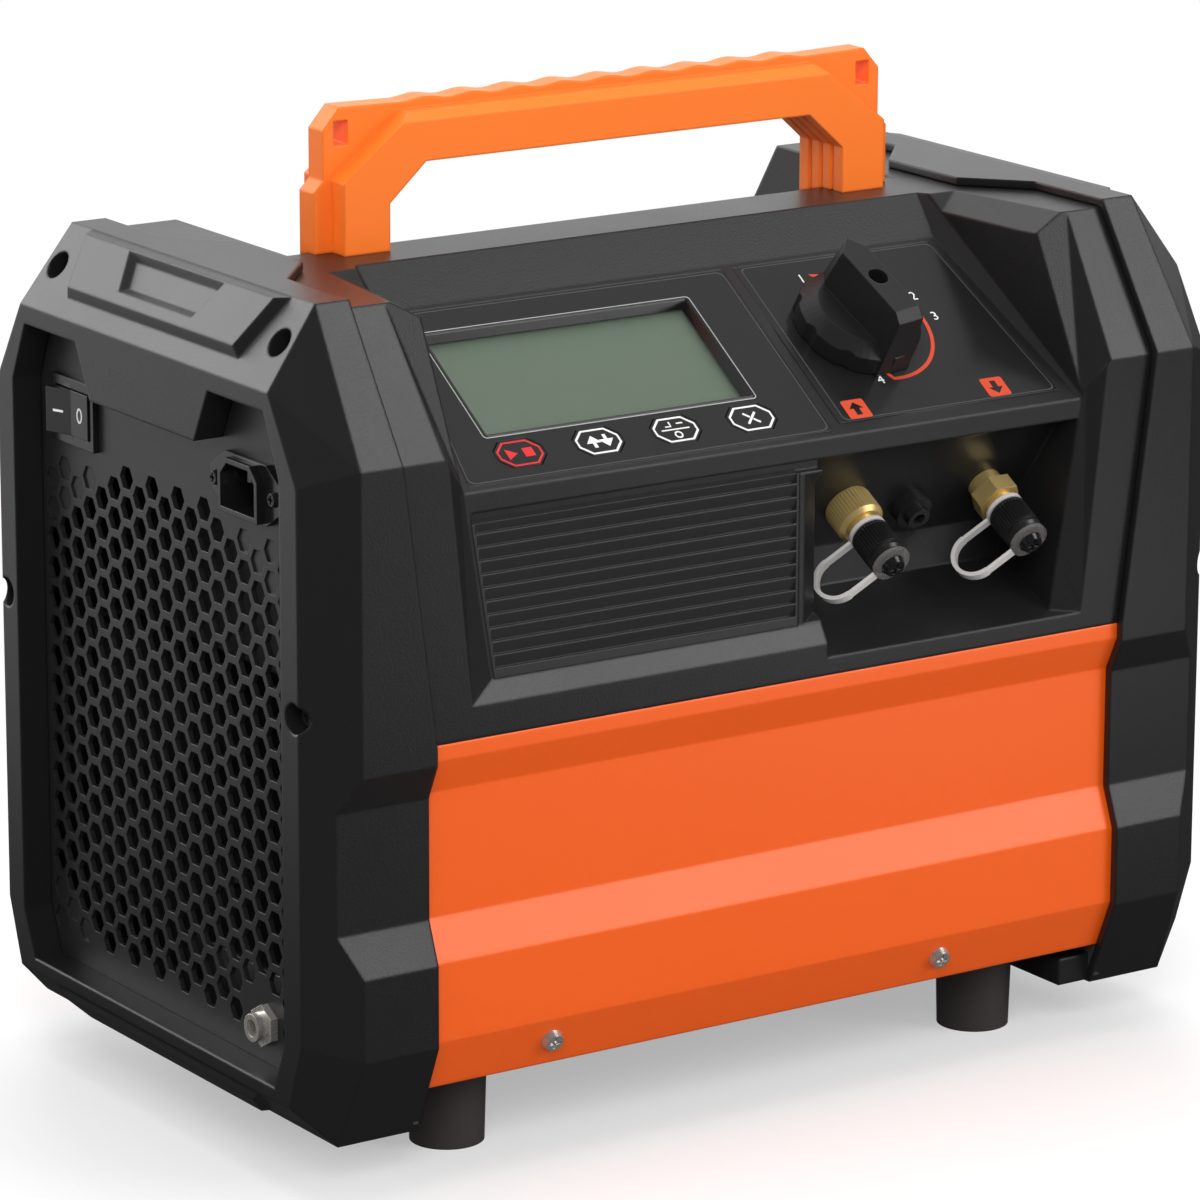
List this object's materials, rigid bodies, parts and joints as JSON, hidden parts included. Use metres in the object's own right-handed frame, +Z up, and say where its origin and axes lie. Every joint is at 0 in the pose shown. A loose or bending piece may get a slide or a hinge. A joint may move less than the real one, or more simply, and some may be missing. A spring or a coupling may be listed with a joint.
{
  "type": "refrigerant recovery machine",
  "caption": "Portable refrigerant recovery machine: box case with moulded ends and hexagon grilles, sloping panel with display and selector knob, capped fittings and a carrying handle.",
  "frame": {"origin": "on the floor under the middle of the case", "axes": "+X to the right along the length, the front with the control panel faces -Y, +Z up"},
  "size_m": [0.402, 0.242, 0.3702],
  "materials": {
    "zinc_plate": "zinc-plated formed sheet",
    "orange_paint": "orange powder coat, satin",
    "black_moulding": "fine-textured black moulding",
    "overlay_film": "satin printed film",
    "display_glass": "clear window",
    "display_panel": "grey-green reflective panel",
    "key_film": "satin film over a key",
    "knob_plastic": "satin black moulding",
    "nickel": "nickel plate",
    "black_steel": "black oxide",
    "plain_steel": "bright zinc",
    "brass": "turned brass",
    "bare_aluminium": "cast and machined",
    "cap_plastic": "black moulding",
    "white_nylon": "natural nylon",
    "orange_moulding": "orange moulding, fine texture",
    "foot_rubber": "moulded rubber",
    "gloss_black": "glossy black moulding",
    "board": "circuit board",
    "copper": "copper tube"
  },
  "bodies": {
    "case": {"chassis_base": "zinc_plate", "front_panel": "orange_paint", "rear_panel": "orange_paint", "left_end_cap": "black_moulding", "right_end_cap": "black_moulding", "left_grille": "black_moulding", "right_grille": "black_moulding", "upper_housing": "black_moulding", "vent_louvre": "black_moulding", "display_overlay": "overlay_film", "display_lens": "display_glass", "lcd_module": "display_panel", "valve_overlay": "overlay_film", "valve_body": "brass", "manifold_block": "bare_aluminium", "inlet_fitting": "brass", "inlet_strap": "white_nylon", "outlet_fitting": "brass", "outlet_strap": "white_nylon", "sealed_plug": "cap_plastic", "handle": "orange_moulding", "handle_screws": "plain_steel", "front_left_foot": "foot_rubber", "front_right_foot": "foot_rubber", "rear_left_foot": "foot_rubber", "rear_right_foot": "foot_rubber", "foot_screws": "plain_steel", "switch_body": "gloss_black", "power_inlet": "gloss_black", "inlet_pins": "nickel", "inlet_screws": "nickel", "sensor_jack": "nickel", "jack_nut": "nickel", "front_panel_screws": "nickel", "rear_panel_screws": "nickel", "left_cap_screws": "black_steel", "right_cap_screws": "black_steel", "motor_housing": "bare_aluminium", "motor_bearings": "plain_steel", "crankcase": "bare_aluminium", "cylinder_heads": "bare_aluminium", "fan_shroud": "zinc_plate", "condenser_coil": "bare_aluminium", "control_board": "board", "refrigerant_tubes": "copper"},
    "knob": {"selector_knob": "knob_plastic", "knob_screw": "black_steel", "valve_stem": "plain_steel"},
    "rocker": {"power_rocker": "gloss_black"},
    "run_key": {"key_run": "key_film"},
    "mode_key": {"key_mode": "key_film"},
    "units_key": {"key_units": "key_film"},
    "cancel_key": {"key_cancel": "key_film"},
    "inlet_sealing_cap": {"inlet_cap": "cap_plastic", "inlet_cap_screw": "gloss_black"},
    "outlet_sealing_cap": {"outlet_cap": "cap_plastic", "outlet_cap_screw": "gloss_black"},
    "rotor": {"motor_shaft": "plain_steel", "motor_rotor": "plain_steel", "cooling_fan": "cap_plastic"}
  },
  "joints": [
    {"name": "knob_turn", "type": "hinge", "parent": "case", "child": "knob", "pos_m": [0.0615, -0.07151, 0.2796], "axis": [0, -0.5519, 0.8339], "range_deg": [-205, 0]},
    {"name": "rocker_tilt", "type": "hinge", "parent": "case", "child": "rocker", "pos_m": [-0.19, 0.068, 0.253], "axis": [0, 0, 1], "range_deg": [-20, 0]},
    {"name": "run_key_press", "type": "slide", "parent": "case", "child": "run_key", "axis": [0, 0.5519, -0.8339], "range_m": [0, 0.0005], "stiffness_N_per_m": 800},
    {"name": "mode_key_press", "type": "slide", "parent": "case", "child": "mode_key", "axis": [0, 0.5519, -0.8339], "range_m": [0, 0.0005], "stiffness_N_per_m": 800},
    {"name": "units_key_press", "type": "slide", "parent": "case", "child": "units_key", "axis": [0, 0.5519, -0.8339], "range_m": [0, 0.0005], "stiffness_N_per_m": 800},
    {"name": "cancel_key_press", "type": "slide", "parent": "case", "child": "cancel_key", "axis": [0, 0.5519, -0.8339], "range_m": [0, 0.0005], "stiffness_N_per_m": 800},
    {"name": "inlet_cap_turn", "type": "hinge", "parent": "case", "child": "inlet_sealing_cap", "pos_m": [0.0475, -0.08795, 0.21805], "axis": [0, -0.866, -0.5], "range_deg": [0, 1080]},
    {"name": "outlet_cap_turn", "type": "hinge", "parent": "case", "child": "outlet_sealing_cap", "pos_m": [0.111, -0.08795, 0.21805], "axis": [0, -0.866, -0.5], "range_deg": [0, 1080]},
    {"name": "rotor_spin", "type": "hinge", "parent": "case", "child": "rotor", "pos_m": [0, 0.008, 0.108], "axis": [1, 0, 0], "continuous": true}
  ]
}
